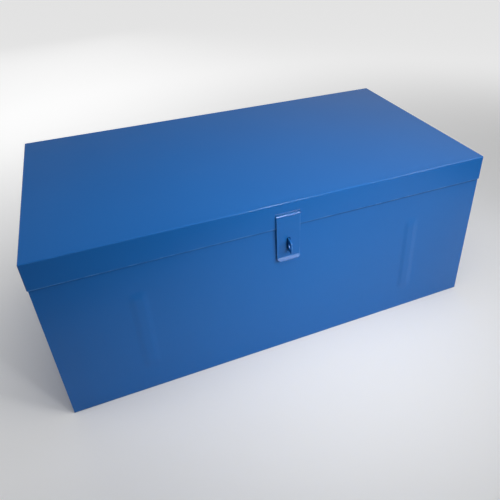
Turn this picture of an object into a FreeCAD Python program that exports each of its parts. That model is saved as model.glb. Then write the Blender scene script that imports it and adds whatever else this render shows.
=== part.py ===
import FreeCAD
import Part
import Sketcher
import math
import operator
import os

# Steel storage chest: a bent sheet body with two pan-shaped end panels, a
# shallow hinged lid with a hemmed skirt, a drop handle on each end and a
# slotted hasp strap that falls over a staple for a padlock.
#
# Frame: millimetres, X along the chest to the right, Y to the rear, Z up.
# The origin is the middle of the body's flat underside.

SIZES = [
    # Body sheets
    ("body_width", 750, "outside of one end panel to outside of the other"),
    ("body_depth", 400, "outside of the front wall to outside of the rear wall"),
    ("rim_height", 283, "underside to the top of the rim"),
    ("sheet_wall", 0.6, "thickness of every body and lid sheet"),
    ("base_bend", 2.2, "inner radius of the bends along the underside"),
    ("fold_bend", 1.2, "inner radius of every other fold in the sheets"),
    ("rim_flange", 12, "width of the inward flange on the front and rear rim"),
    ("pan_flange", 14, "width of the flanges round an end panel"),
    ("sheet_gap", 0.3, "gap between sheet edges that meet at a corner"),
    # Lid
    ("lid_rise", 23, "top of the rim to the top of the lid"),
    ("lid_skirt", 45, "height of the lid's skirt"),
    ("hem_height", 9, "height of the folded hem inside the skirt"),
    ("hem_edge", 0.4, "bevel along the folded edge of the hem"),
    ("lid_corner", 2, "rounding of the upright corners of the skirt"),
    ("front_gap", 0.9, "hem to front wall, which the swing of the lid needs"),
    ("rear_gap", 0.4, "hem to rear wall"),
    ("side_gap", 0.3, "hem to end panel"),
    # Hat stiffeners of the walls and the lid
    ("stiffener_from_end", 132, "end of the body to the middle of a stiffener and its hinge"),
    ("wall_crown", 24, "width of a wall stiffener's crown"),
    ("wall_stiffener_depth", 12, "wall to the crown of a wall stiffener"),
    ("wall_stiffener_foot", 45, "underside to the foot of a wall stiffener"),
    ("front_stiffener_below_rim", 76, "top of the rim to the top of a front stiffener"),
    ("rear_stiffener_below_rim", 21, "top of the rim to the top of a rear stiffener"),
    ("lid_crown", 30, "width of a lid stiffener's crown"),
    ("stiffener_flange", 12, "width of the flange on each side of a stiffener"),
    ("lid_stiffener_end", 4, "end of a lid stiffener to the body wall's outside"),
    # Hinges
    ("hinge_length", 60, "length of a hinge"),
    ("leaf_wall", 1.5, "thickness of a hinge leaf"),
    ("leaf_corner", 4, "rounding of the free corners of a leaf"),
    ("pin_radius", 2, "hinge pin"),
    ("pin_clearance", 0.05, "pin to bore"),
    ("knuckle_wall", 1.45, "bore to the outside of a knuckle"),
    ("knuckle_gap", 0.3, "gap between neighbouring knuckles"),
    ("pin_head_height", 1.2, "peened head on each end of a pin"),
    ("pin_head_radius", 3, "peened head on each end of a pin"),
    ("axis_behind_wall", 3.9, "rear wall to the hinge axis"),
    ("axis_below_lid", 3.8, "lower edge of the lid to the hinge axis"),
    ("leaf_drop", 28.2, "hinge axis to the foot of the body leaf"),
    ("leaf_climb", 40.8, "hinge axis to the top of the lid leaf"),
    ("leaf_clearance", 0.7, "leaf edge to the other leaf's knuckle"),
    ("rivet_pitch", 37, "distance between the two rivets of a leaf"),
    ("rivet_edge", 6.5, "rivet to the free edge of its leaf"),
    # Rivets
    ("rivet_radius", 2, "shank"),
    ("rivet_clearance", 0.05, "shank to hole"),
    ("rivet_head_radius", 4, "head at the sheet"),
    ("rivet_head_height", 1.6, "height of the head"),
    ("rivet_crown_radius", 2.6, "flat crown of the head"),
    ("rivet_tail_radius", 3.1, "set tail at the sheet"),
    ("rivet_tail_height", 1.2, "height of the set tail"),
    # Hasp strap on the lid
    ("strap_width", 40, "width of the strap"),
    ("strap_wall", 2, "thickness of the strap"),
    ("strap_bend", 0.9, "inner radius of the strap's bends"),
    ("strap_stand_off", 1.2, "skirt to the back of the strap at its top"),
    ("strap_hang", 2.1, "how far the strap leans in from its top to its lip"),
    ("strap_corner", 6, "rounding of the lip's corners"),
    ("lip_out", 3.6, "how far the lip stands out"),
    ("lip_drop", 5.6, "height of the lip"),
    ("web_below_lid", 20.3, "top of the lid to the top of the strap's web"),
    ("slot_room_above", 2.3, "web to the upper edge of the skirt's slot"),
    ("slot_room_below", 0.3, "web to the lower edge of the skirt's slot"),
    ("slot_room_side", 1, "strap to each end of the skirt's slot"),
    ("strap_inner_gap", 1.2, "skirt to the strap's tail behind it"),
    ("tail_height", 12.3, "height of the strap's tail behind the skirt"),
    ("tail_head_width", 52, "width of the tail's head, wider than the slot"),
    ("tail_head_height", 8, "height of the tail's head"),
    # Staple on the body
    ("lug_wall", 2.2, "thickness of the staple"),
    ("lug_bend", 1.6, "inner radius of the staple's bend"),
    ("lug_reach", 17.2, "front wall to the nose of the lug"),
    ("lug_tip_back", 1.2, "nose to the lower tip"),
    ("lug_height", 24.6, "height of the lug at the wall"),
    ("lug_nose_drop", 4.7, "how far the lug's top edge falls to the nose"),
    ("lug_nose_round", 2.5, "rounding of the nose"),
    ("lug_tip_rise", 5, "height of the slanted front edge above the tip"),
    ("lug_below_rim", 41.4, "top of the rim to the top of the lug"),
    ("padlock_radius", 4, "hole for the padlock's shackle"),
    ("padlock_reach", 9.9, "front wall to the middle of the hole"),
    ("padlock_rise", 10, "foot of the lug to the middle of the hole"),
    ("staple_base_width", 30, "base flange inside the front wall"),
    ("staple_base_border", 7.7, "base flange above and below the lug"),
    ("slit_gap", 0.3, "lug to the edges of the slit in the wall"),
    ("strap_slot_width", 7, "slot in the strap for the lug"),
    ("strap_slot_above", 0.6, "top of the lug to the top of the strap's slot"),
    ("strap_slot_below", 4.2, "foot of the lug to the foot of the slot"),
    ("strap_below_slot", 8.3, "foot of the slot to the bend of the lip"),
    # Handles
    ("handle_level", 185, "underside to the line that a bail swings on"),
    ("handle_plate_length", 160, "handle plate along the end panel"),
    ("handle_plate_height", 44, "handle plate up the end panel"),
    ("handle_plate_wall", 2, "thickness of the handle plate"),
    ("handle_plate_corner", 8, "rounding of the plate's corners"),
    ("handle_rivet_border", 9, "rivet to the edges of the handle plate"),
    ("rod_radius", 4, "round rod of the bail"),
    ("rod_clearance", 0.3, "rod to the plate and to its eyes"),
    ("eye_wall", 2.2, "thickness of an eye round the rod"),
    ("eye_width", 10, "width of an eye"),
    ("eye_spacing", 86, "middle of one eye to the middle of the other"),
    ("leg_clearance", 1, "eye to the bend of the bail's leg"),
    ("bail_bend", 9, "bend radius at the middle of the rod"),
    ("bail_drop", 52, "swing line to the middle of the grip"),
    ("stop_wall", 2, "thickness of the stop above each leg"),
    ("stop_reach", 12, "how far a stop stands out from the plate"),
    ("stop_width", 12, "width of a stop"),
    ("stop_gap", 0.3, "raised leg to its stop"),
]

document = FreeCAD.newDocument("storage_chest")
sheet = document.addObject("Spreadsheet::Sheet", "sizes")
for row, (word, number, meaning) in enumerate(SIZES, start=1):
    sheet.set("A%d" % row, word)
    sheet.set("B%d" % row, str(number))
    sheet.set("C%d" % row, meaning)
    sheet.setAlias("B%d" % row, word)
document.recompute()


class Length:
    """A length with the sheet expression that gives it."""

    signs = {"+": operator.add, "-": operator.sub, "*": operator.mul, "/": operator.truediv}

    def __init__(self, value, text):
        self.value = float(value)
        self.text = text

    def join(self, sign, other):
        right = length(other)
        value = self.signs[sign](self.value, right.value)
        return Length(value, "(%s %s %s)" % (self.text, sign, right.text))

    def __add__(self, other):
        return self.join("+", other)

    def __sub__(self, other):
        return self.join("-", other)

    def __mul__(self, other):
        return self.join("*", other)

    def __truediv__(self, other):
        return self.join("/", other)

    def __neg__(self):
        return Length(0, "0") - self


def length(item):
    """A plain number as a length; a length as it is."""
    if isinstance(item, Length):
        return item
    return Length(item, repr(item))


def root(item):
    """The square root of a length's number."""
    return Length(math.sqrt(item.value), "sqrt(%s)" % item.text)


def size(word):
    """A driving dimension from the sheet."""
    return Length(getattr(sheet, word), "sizes." + word)


def bind(feature, name, item):
    """Tie one property of a feature to the sheet."""
    feature.setExpression(name, length(item).text)


# Planes of a body's origin, with the sign of their normal along the third axis
PLANES = {"XY": ("XY_Plane", 1), "XZ": ("XZ_Plane", -1), "YZ": ("YZ_Plane", 1)}


def in_space(plane, across, up, level):
    """A point of a plane, at a level along the third axis, as a vector."""
    places = {
        "XY": (across, up, level),
        "XZ": (across, level, up),
        "YZ": (level, across, up),
    }
    return FreeCAD.Vector(*[length(item).value for item in places[plane]])


def new_body(label):
    """An empty body for one piece of the chest."""
    body = document.addObject("PartDesign::Body", label)
    body.Label = label
    body.AllowCompound = True
    return body


def origin_feature(body, role):
    return [item for item in body.Origin.OriginFeatures if item.Role == role][0]


def new_sketch(body, name, plane, level, across=0, up=0):
    """A sketch on one of the body's own planes, moved by bound lengths."""
    role, sign = PLANES[plane]
    sketch = body.newObject("Sketcher::SketchObject", name)
    sketch.AttachmentSupport = [(origin_feature(body, role), "")]
    sketch.MapMode = "FlatFace"
    shift = [length(across), length(up), length(level) * sign]
    base = FreeCAD.Vector(*[item.value for item in shift])
    sketch.AttachmentOffset = FreeCAD.Placement(base, FreeCAD.Rotation())
    for letter, item in zip("xyz", shift):
        bind(sketch, ".AttachmentOffset.Base." + letter, item)
    return sketch


def fix(sketch, kind, geometry, point, item):
    """Hold one coordinate of a point of the sketch at a bound length."""
    item = length(item)
    number = sketch.addConstraint(Sketcher.Constraint(kind, -1, 1, geometry, point, item.value))
    bind(sketch, "Constraints[%d]" % number, item)


def add_arc(sketch, start, end, centre):
    """The shorter arc from start to end; returns its number and end points."""
    middle = FreeCAD.Vector(centre[0].value, centre[1].value, 0)
    first = FreeCAD.Vector(start[0].value, start[1].value, 0) - middle
    last = FreeCAD.Vector(end[0].value, end[1].value, 0) - middle
    turn = first.x * last.y - first.y * last.x
    counter = turn > 0
    if not counter:
        first, last = last, first
    circle = Part.Circle(middle, FreeCAD.Vector(0, 0, 1), first.Length)
    begin = math.atan2(first.y, first.x)
    finish = math.atan2(last.y, last.x)
    if finish < begin:
        finish += 2 * math.pi
    number = sketch.addGeometry(Part.ArcOfCircle(circle, begin, finish), False)
    return (number, 1, 2) if counter else (number, 2, 1)


def draw_outline(sketch, corners, closed=True):
    """Straight runs and arcs from corner to corner, each bound to the sheet.

    A corner is (across, up), or (across, up, centre) where an arc about that
    centre leads on to the next corner.
    """
    corners = [tuple(length(item) for item in corner[:2]) + tuple(corner[2:]) for corner in corners]
    count = len(corners) if closed else len(corners) - 1
    runs = []
    for index in range(count):
        start = corners[index]
        end = corners[(index + 1) % len(corners)]
        if len(start) == 3:
            centre = tuple(length(item) for item in start[2])
            runs.append(add_arc(sketch, start, end, centre))
        else:
            first = FreeCAD.Vector(start[0].value, start[1].value, 0)
            last = FreeCAD.Vector(end[0].value, end[1].value, 0)
            runs.append((sketch.addGeometry(Part.LineSegment(first, last), False), 1, 2))
    for index in range(count if closed else count - 1):
        number, _, end_point = runs[index]
        following, start_point, _ = runs[(index + 1) % count]
        sketch.addConstraint(Sketcher.Constraint("Coincident", number, end_point, following, start_point))
    for index in range(count):
        number, start_point, end_point = runs[index]
        start = corners[index]
        end = corners[(index + 1) % len(corners)]
        fix(sketch, "DistanceX", number, start_point, start[0])
        fix(sketch, "DistanceY", number, start_point, start[1])
        if len(start) == 3:
            wide = abs((end[0] - start[0]).value) > abs((end[1] - start[1]).value)
            if wide:
                fix(sketch, "DistanceY", number, 3, start[2][1])
            else:
                fix(sketch, "DistanceX", number, 3, start[2][0])
    if not closed:
        number, _, end_point = runs[-1]
        fix(sketch, "DistanceX", number, end_point, corners[-1][0])
        fix(sketch, "DistanceY", number, end_point, corners[-1][1])


class Disc:
    """A full circle in a sketch."""

    def __init__(self, across, up, radius):
        self.across = length(across)
        self.up = length(up)
        self.radius = length(radius)


def draw_disc(sketch, disc):
    centre = FreeCAD.Vector(disc.across.value, disc.up.value, 0)
    circle = Part.Circle(centre, FreeCAD.Vector(0, 0, 1), disc.radius.value)
    number = sketch.addGeometry(circle, False)
    fix(sketch, "DistanceX", number, 3, disc.across)
    fix(sketch, "DistanceY", number, 3, disc.up)
    held = sketch.addConstraint(Sketcher.Constraint("Radius", number, disc.radius.value))
    bind(sketch, "Constraints[%d]" % held, disc.radius)


def draw(sketch, loops):
    """Closed outlines and full circles."""
    for loop in loops:
        if isinstance(loop, Disc):
            draw_disc(sketch, loop)
        else:
            draw_outline(sketch, loop)


def box_outline(left, low, right, high):
    return [(left, low), (right, low), (right, high), (left, high)]


def rounded_outline(left, low, right, high, radius):
    """A rectangle with round corners."""
    left, low, right, high = [length(item) for item in (left, low, right, high)]
    return [
        (left + radius, low),
        (right - radius, low, (right - radius, low + radius)),
        (right, low + radius),
        (right, high - radius, (right - radius, high - radius)),
        (right - radius, high),
        (left + radius, high, (left + radius, high - radius)),
        (left, high - radius),
        (left, low + radius, (left + radius, low + radius)),
    ]


def extrude(body, name, plane, level, run, *loops):
    """Material from a level of the plane's third axis, a run further along it."""
    sketch = new_sketch(body, name + "_outline", plane, level)
    draw(sketch, loops)
    pad = body.newObject("PartDesign::Pad", name)
    pad.Profile = sketch
    pad.Length = length(run).value
    bind(pad, "Length", run)
    pad.Reversed = plane == "XZ"
    document.recompute()
    return pad


def cut(body, name, plane, level, run, *loops):
    """The same run of space, taken out of the body."""
    before = body.Shape.Volume
    sketch = new_sketch(body, name + "_outline", plane, level)
    draw(sketch, loops)
    pocket = body.newObject("PartDesign::Pocket", name)
    pocket.Profile = sketch
    pocket.Length = length(run).value
    bind(pocket, "Length", run)
    pocket.Reversed = plane != "XZ"
    document.recompute()
    if not body.Shape.Volume < before:
        raise RuntimeError("%s takes nothing out of %s" % (name, body.Label))
    return pocket


def passes(edge, points):
    """Whether the edge is straight and holds one of the points."""
    if not isinstance(edge.Curve, Part.Line):
        return False
    return any(edge.distToShape(Part.Vertex(point))[0] < 1e-4 for point in points)


def along(edge, axis):
    """Whether the edge is straight along X, Y or Z."""
    if not isinstance(edge.Curve, Part.Line):
        return False
    direction = edge.Curve.Direction
    return abs(abs(getattr(direction, axis)) - 1) < 1e-6


def dress_edges(body, name, kind, setting, amount, chosen):
    """Fillet or chamfer the edges of the body's last feature that are chosen."""
    base = body.Tip
    names = ["Edge%d" % (index + 1) for index, edge in enumerate(base.Shape.Edges) if chosen(edge)]
    if not names:
        raise RuntimeError("%s of %s finds no edge" % (name, body.Label))
    feature = body.newObject("PartDesign::" + kind, name)
    feature.Base = (base, names)
    setattr(feature, setting, length(amount).value)
    bind(feature, setting, amount)
    document.recompute()
    return feature


def round_edges(body, name, radius, chosen):
    return dress_edges(body, name, "Fillet", "Radius", radius, chosen)


def bevel_edges(body, name, width, chosen):
    return dress_edges(body, name, "Chamfer", "Size", width, chosen)


def hollow(body, name, wall, open_face):
    """Leave a sheet of the given wall, open at the chosen face."""
    base = body.Tip
    names = ["Face%d" % (index + 1) for index, face in enumerate(base.Shape.Faces) if open_face(face)]
    shell = body.newObject("PartDesign::Thickness", name)
    shell.Base = (base, names)
    shell.Value = length(wall).value
    bind(shell, "Value", wall)
    shell.Reversed = True
    shell.Join = "Intersection"
    document.recompute()
    return shell


def faces_at(axis, place):
    """A test for flat faces square to an axis at a place."""

    def test(face):
        box = face.BoundBox
        low = getattr(box, axis + "Min")
        high = getattr(box, axis + "Max")
        return abs(low - place.value) < 1e-4 and abs(high - place.value) < 1e-4

    return test


def edges_at(axis, place):
    """A test for edges that lie at one place along an axis."""

    def test(edge):
        box = edge.BoundBox
        low = getattr(box, axis + "Min")
        high = getattr(box, axis + "Max")
        return abs(low - place.value) < 1e-3 and abs(high - place.value) < 1e-3

    return test


def bent_sheet(label, plane, level, run, path, wall, bend):
    """A sheet folded along square corners, with its wall to the path's left.

    The path is one face of the sheet seen end on. Every fold is rounded, by
    the bend inside and by the bend and the wall outside.
    """
    body = new_body(label)
    path = [(length(across), length(up)) for across, up in path]
    normals = []
    for (across, up), (next_across, next_up) in zip(path, path[1:]):
        step = ((next_across - across).value, (next_up - up).value)
        size_of_step = math.hypot(*step)
        normals.append((round(-step[1] / size_of_step), round(step[0] / size_of_step)))
    far_side = []
    inside = []
    outside = []
    middle = length(level) + length(run) / 2
    for index, (across, up) in enumerate(path):
        meeting = normals[max(index - 1, 0):index + 1]
        push_across = sum(normal[0] for normal in meeting)
        push_up = sum(normal[1] for normal in meeting)
        other = (across + wall * push_across, up + wall * push_up)
        far_side.append(other)
        if len(meeting) == 2:
            turn = meeting[0][0] * meeting[1][1] - meeting[0][1] * meeting[1][0]
            near_point = in_space(plane, across, up, middle)
            far_point = in_space(plane, *other, middle)
            inside.append(far_point if turn > 0 else near_point)
            outside.append(near_point if turn > 0 else far_point)
    extrude(body, "strip", plane, level, run, path + far_side[::-1])
    round_edges(body, "inner_bends", bend, lambda edge: passes(edge, inside))
    round_edges(body, "outer_bends", bend + wall, lambda edge: passes(edge, outside))
    return body


# Walls and levels that several pieces share
wall = size("sheet_wall")
fold = size("fold_bend")
half_width = size("body_width") / 2
half_depth = size("body_depth") / 2
rim = size("rim_height")
lid_top = rim + size("lid_rise")
seam = lid_top - size("lid_skirt")
lid_side = half_width + size("side_gap") + wall * 2
lid_front = -(half_depth + size("front_gap") + wall * 2)
lid_rear = half_depth + size("rear_gap") + wall * 2
offset = half_width - size("stiffener_from_end")
rivet_hole = size("rivet_radius") + size("rivet_clearance")
axis_y = half_depth + size("axis_behind_wall")
axis_z = seam - size("axis_below_lid")
body_rivet_z = axis_z - size("leaf_drop") + size("rivet_edge")
lid_rivet_z = axis_z + size("leaf_climb") - size("rivet_edge")
lug_top = rim - size("lug_below_rim")
lug_foot = lug_top - size("lug_height")
SIDES = {"left": -1, "right": 1}
PAST = 1


def hinge_rivet_discs(level, radius, centres):
    """Holes for the two rivets of each hinge leaf."""
    discs = []
    for centre in centres:
        for side in SIDES.values():
            discs.append(Disc(centre + size("rivet_pitch") / 2 * side, level, radius))
    return discs


def make_body_wrap():
    """Front wall, underside and rear wall, folded from one sheet."""
    flange = size("rim_flange")
    path = [
        (flange - half_depth, rim),
        (-half_depth, rim),
        (-half_depth, 0),
        (half_depth, 0),
        (half_depth, rim),
        (half_depth - flange, rim),
    ]
    body = new_body("body_wrap")
    outer = [(length(across), length(up)) for across, up in path]
    inner = [
        (half_depth - flange, rim - wall),
        (half_depth - wall, rim - wall),
        (half_depth - wall, wall),
        (wall - half_depth, wall),
        (wall - half_depth, rim - wall),
        (flange - half_depth, rim - wall),
    ]
    extrude(body, "strip", "YZ", -half_width, half_width * 2, outer + inner)
    rim_inside = [in_space("YZ", *inner[index], 0) for index in (1, 4)]
    rim_outside = [in_space("YZ", *outer[index], 0) for index in (1, 4)]
    base_inside = [in_space("YZ", *inner[index], 0) for index in (2, 3)]
    base_outside = [in_space("YZ", *outer[index], 0) for index in (2, 3)]
    round_edges(body, "rim_inner_bends", fold, lambda edge: passes(edge, rim_inside))
    round_edges(body, "rim_outer_bends", fold + wall, lambda edge: passes(edge, rim_outside))
    base = size("base_bend")
    round_edges(body, "base_inner_bends", base, lambda edge: passes(edge, base_inside))
    round_edges(body, "base_outer_bends", base + wall, lambda edge: passes(edge, base_outside))

    # The end panels' own rims take the place of the flanges at the corners.
    notch = box_outline(-half_depth - PAST, rim - wall - fold, half_depth + PAST, rim + PAST)
    notch_run = size("pan_flange") + size("sheet_gap") + PAST
    for name, side in SIDES.items():
        near = half_width - size("pan_flange") - size("sheet_gap")
        level = near if side > 0 else -near - notch_run
        cut(body, name + "_corner_notches", "YZ", level, notch_run, notch)

    gap = size("slit_gap")
    half_lug = size("lug_wall") / 2
    slit = box_outline(-half_lug - gap, lug_foot - gap, half_lug + gap, lug_top + gap)
    cut(body, "staple_slit", "XZ", -half_depth - PAST, wall + PAST * 2, slit)
    holes = hinge_rivet_discs(body_rivet_z, rivet_hole, (-offset, offset))
    cut(body, "hinge_rivet_holes", "XZ", half_depth - wall - PAST, wall + PAST * 2, *holes)
    return body


def handle_rivet_places():
    """Rivets of a handle plate as (y, z)."""
    border = size("handle_rivet_border")
    across = size("handle_plate_length") / 2 - border
    up = size("handle_plate_height") / 2 - border
    level = size("handle_level")
    return [(across * side, level + up * rise) for side in (-1, 1) for rise in (-1, 1)]


def make_end_panel(name, side):
    """One end of the body: a pan whose flanges lie inside the folded sheet."""
    body = new_body(name + "_end_panel")
    depth = size("pan_flange")
    reach = half_depth - wall
    level = half_width - depth if side > 0 else -half_width
    extrude(body, "block", "YZ", level, depth, box_outline(-reach, wall, reach, rim))
    corner = size("base_bend") + size("sheet_gap")
    round_edges(body, "corners", corner, lambda edge: along(edge, "x"))
    web = half_width * side
    round_edges(body, "web_bends", fold + wall, edges_at("X", web))
    hollow(body, "pan", wall, faces_at("X", web - depth * side))
    holes = [Disc(across, up, rivet_hole) for across, up in handle_rivet_places()]
    start = web - wall * (side + 1) / 2 - PAST
    cut(body, "handle_rivet_holes", "YZ", start, wall + PAST * 2, *holes)
    return body


def hat_path(middle, crown, flange, depth, foot, away):
    """A hat section from flange to flange; away is the way the crown stands."""
    inner = crown / 2 - wall
    outer = crown / 2 + flange
    top = foot + (depth - wall) * away
    return [
        (middle - outer, foot),
        (middle - inner, foot),
        (middle - inner, top),
        (middle + inner, top),
        (middle + inner, foot),
        (middle + outer, foot),
    ]


def make_wall_stiffener(name, side, front):
    """A hat section on the inside of the front or rear wall."""
    place = "front" if front else "rear"
    foot = wall - half_depth if front else half_depth - wall
    away = 1 if front else -1
    path = hat_path(
        offset * side, size("wall_crown"), size("stiffener_flange"),
        size("wall_stiffener_depth"), foot, away,
    )
    if not front:
        path = path[::-1]
    start = size("wall_stiffener_foot")
    run = rim - size(place + "_stiffener_below_rim") - start
    label = "%s_%s_stiffener" % (place, name)
    body = bent_sheet(label, "XY", start, run, path, wall, fold)
    if not front:
        holes = hinge_rivet_discs(body_rivet_z, rivet_hole, [offset * side])
        cut(body, "hinge_rivet_holes", "XZ", foot - wall - PAST, wall + PAST * 2, *holes)
    return body


def make_lid_shell():
    """The lid: a shallow pan upside down, its skirt hemmed inside."""
    body = new_body("lid_shell")
    box = box_outline(-lid_side, lid_front, lid_side, lid_rear)
    extrude(body, "block", "XY", seam, size("lid_skirt"), box)
    corner = size("lid_corner")
    round_edges(body, "skirt_corners", corner, lambda edge: along(edge, "z"))
    round_edges(body, "top_bends", fold + wall, edges_at("Z", lid_top))
    hollow(body, "pan", wall, faces_at("Z", seam))
    hem = [
        rounded_outline(inset - lid_side, lid_front + inset, lid_side - inset, lid_rear - inset, corner - inset)
        for inset in (wall / 2, wall * 2)
    ]
    extrude(body, "hem", "XY", seam, size("hem_height"), *hem)
    bevel_edges(body, "hem_fold", size("hem_edge"), edges_at("Z", seam))

    web_top = lid_top - size("web_below_lid")
    low = web_top - size("strap_wall") - size("slot_room_below")
    half_slot = size("strap_width") / 2 + size("slot_room_side")
    slot = box_outline(-half_slot, low, half_slot, web_top + size("slot_room_above"))
    cut(body, "hasp_slot", "XZ", lid_front - PAST, wall + PAST * 2, slot)
    holes = hinge_rivet_discs(lid_rivet_z, rivet_hole, (-offset, offset))
    cut(body, "hinge_rivet_holes", "XZ", lid_rear - wall - PAST, wall + PAST * 2, *holes)
    return body


def make_lid_stiffener(name, side):
    """A hat section across the lid, whose crown rests on both rims."""
    path = hat_path(
        offset * side, size("lid_crown"), size("stiffener_flange"),
        size("lid_rise") - wall, lid_top - wall, -1,
    )
    reach = half_depth - size("lid_stiffener_end")
    return bent_sheet(
        name + "_lid_stiffener", "XZ", -reach, reach * 2, path[::-1], wall, fold,
    )


# Hinge sizes that both leaves and the pin share
bore = size("pin_radius") + size("pin_clearance")
knuckle = bore + size("knuckle_wall")
knuckle_run = (size("hinge_length") - size("knuckle_gap") * 2) / 3
past_knuckle = knuckle + size("leaf_clearance")


def leaf_outline(face, low, high):
    """A flat leaf seen end on, with its near face against the sheet."""
    return box_outline(face, low, face + size("leaf_wall"), high)


def make_body_leaf(name, side):
    """Hinge leaf on the rear wall, with the two outer knuckles."""
    body = new_body(name + "_hinge_body_leaf")
    start = offset * side - size("hinge_length") / 2
    foot = axis_z - size("leaf_drop")
    plate = leaf_outline(half_depth, foot, axis_z - past_knuckle)
    extrude(body, "plate", "YZ", start, size("hinge_length"), plate)
    corners = lambda edge: along(edge, "y") and abs(edge.BoundBox.ZMax - foot.value) < 1e-4
    round_edges(body, "corners", size("leaf_corner"), corners)
    far = start + (knuckle_run + size("knuckle_gap")) * 2
    for place, level in (("near", start), ("far", far)):
        neck = leaf_outline(half_depth, axis_z - past_knuckle, axis_z)
        extrude(body, place + "_neck", "YZ", level, knuckle_run, neck)
        ring = Disc(axis_y, axis_z, knuckle)
        extrude(body, place + "_knuckle", "YZ", level, knuckle_run, ring)
    cut(body, "bore", "YZ", start - PAST, size("hinge_length") + PAST * 2, Disc(axis_y, axis_z, bore))
    holes = hinge_rivet_discs(body_rivet_z, rivet_hole, [offset * side])
    cut(body, "rivet_holes", "XZ", half_depth - PAST, size("leaf_wall") + PAST * 2, *holes)
    return body


def make_lid_leaf(name, side):
    """Hinge leaf on the back of the lid's skirt, with the middle knuckle."""
    body = new_body(name + "_hinge_lid_leaf")
    start = offset * side - size("hinge_length") / 2
    top = axis_z + size("leaf_climb")
    plate = leaf_outline(lid_rear, axis_z + past_knuckle, top)
    extrude(body, "plate", "YZ", start, size("hinge_length"), plate)
    corners = lambda edge: along(edge, "y") and abs(edge.BoundBox.ZMax - top.value) < 1e-4
    round_edges(body, "corners", size("leaf_corner"), corners)
    level = start + knuckle_run + size("knuckle_gap")
    neck = leaf_outline(lid_rear, axis_z, axis_z + past_knuckle)
    extrude(body, "neck", "YZ", level, knuckle_run, neck)
    extrude(body, "knuckle", "YZ", level, knuckle_run, Disc(axis_y, axis_z, knuckle))
    cut(body, "bore", "YZ", level - PAST, knuckle_run + PAST * 2, Disc(axis_y, axis_z, bore))
    holes = hinge_rivet_discs(lid_rivet_z, rivet_hole, [offset * side])
    cut(body, "rivet_holes", "XZ", lid_rear - PAST, size("leaf_wall") + PAST * 2, *holes)
    return body


def make_hinge_pin(name, side):
    """A plain pin with a peened head at each end."""
    body = new_body(name + "_hinge_pin")
    start = offset * side - size("hinge_length") / 2
    run = size("hinge_length")
    head = size("pin_head_height")
    extrude(body, "shank", "YZ", start, run, Disc(axis_y, axis_z, size("pin_radius")))
    for place, level in (("near", start - head), ("far", start + run)):
        disc = Disc(axis_y, axis_z, size("pin_head_radius"))
        extrude(body, place + "_head", "YZ", level, head, disc)
    return body


def make_rivets(label, axis, side, place, grip, steps):
    """A group of equal rivets.

    The first has the underside of its head at the place and points along the
    axis, with its head on the given side. Each step is (axis, distance) and
    doubles the group.
    """
    body = new_body(label)
    sketch = new_sketch(body, "section", "XY", place[2], place[0], place[1])
    shank = size("rivet_radius")
    head = size("rivet_head_radius")
    rise = size("rivet_head_height")
    tail = size("rivet_tail_radius")
    end = grip + size("rivet_tail_height")
    half_section = [
        (0, rise),
        (size("rivet_crown_radius"), rise),
        (head, 0),
        (shank, 0),
        (shank, -grip),
        (tail, -grip),
        (0, -end),
    ]
    if axis == "X":
        half_section = [turned(corner, side) for corner in half_section]
    draw_outline(sketch, half_section)
    turn = body.newObject("PartDesign::Revolution", "rivet")
    turn.Profile = sketch
    turn.ReferenceAxis = (sketch, ["H_Axis" if axis == "X" else "V_Axis"])
    turn.Angle = 360
    document.recompute()
    for index, (direction, distance) in enumerate(steps):
        pattern = body.newObject("PartDesign::LinearPattern", "step_%d" % (index + 1))
        pattern.TransformMode = "Whole shape"
        pattern.Direction = (origin_feature(body, direction + "_Axis"), [""])
        pattern.Length = distance.value
        bind(pattern, "Length", distance)
        pattern.Occurrences = 2
        body.Tip = pattern
        document.recompute()
    return body


def turned(corner, side):
    """A corner of the rivet's half section, laid along X instead of Y."""
    radius, height = corner
    return (length(height) * side, radius)


def make_hinge_rivets():
    """Four rivets through the rear wall and four through the skirt."""
    pitch = size("rivet_pitch")
    steps = [("X", pitch), ("X", offset * 2)]
    grip = size("leaf_wall") + wall
    first = (-offset - pitch / 2, half_depth + size("leaf_wall"), body_rivet_z)
    make_rivets("hinge_body_rivets", "Y", 1, first, grip + wall, steps)
    first = (-offset - pitch / 2, lid_rear + size("leaf_wall"), lid_rivet_z)
    make_rivets("hinge_lid_rivets", "Y", 1, first, grip, steps)


# Hasp: the web lies in the skirt's slot, the strap hangs outside, the tail inside
web_top = lid_top - size("web_below_lid")
web_foot = web_top - size("strap_wall")
strap_back = lid_front - size("strap_stand_off")
strap_face = strap_back - size("strap_wall")
lean = size("strap_hang")
slot_foot = lug_foot - size("strap_slot_below")
slot_top = lug_top + size("strap_slot_above")
lip_top = slot_foot - size("strap_below_slot")
tail_front = lid_front + wall + size("strap_inner_gap")
tail_back = tail_front + size("strap_wall")
tail_top = web_foot + size("tail_height")


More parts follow.
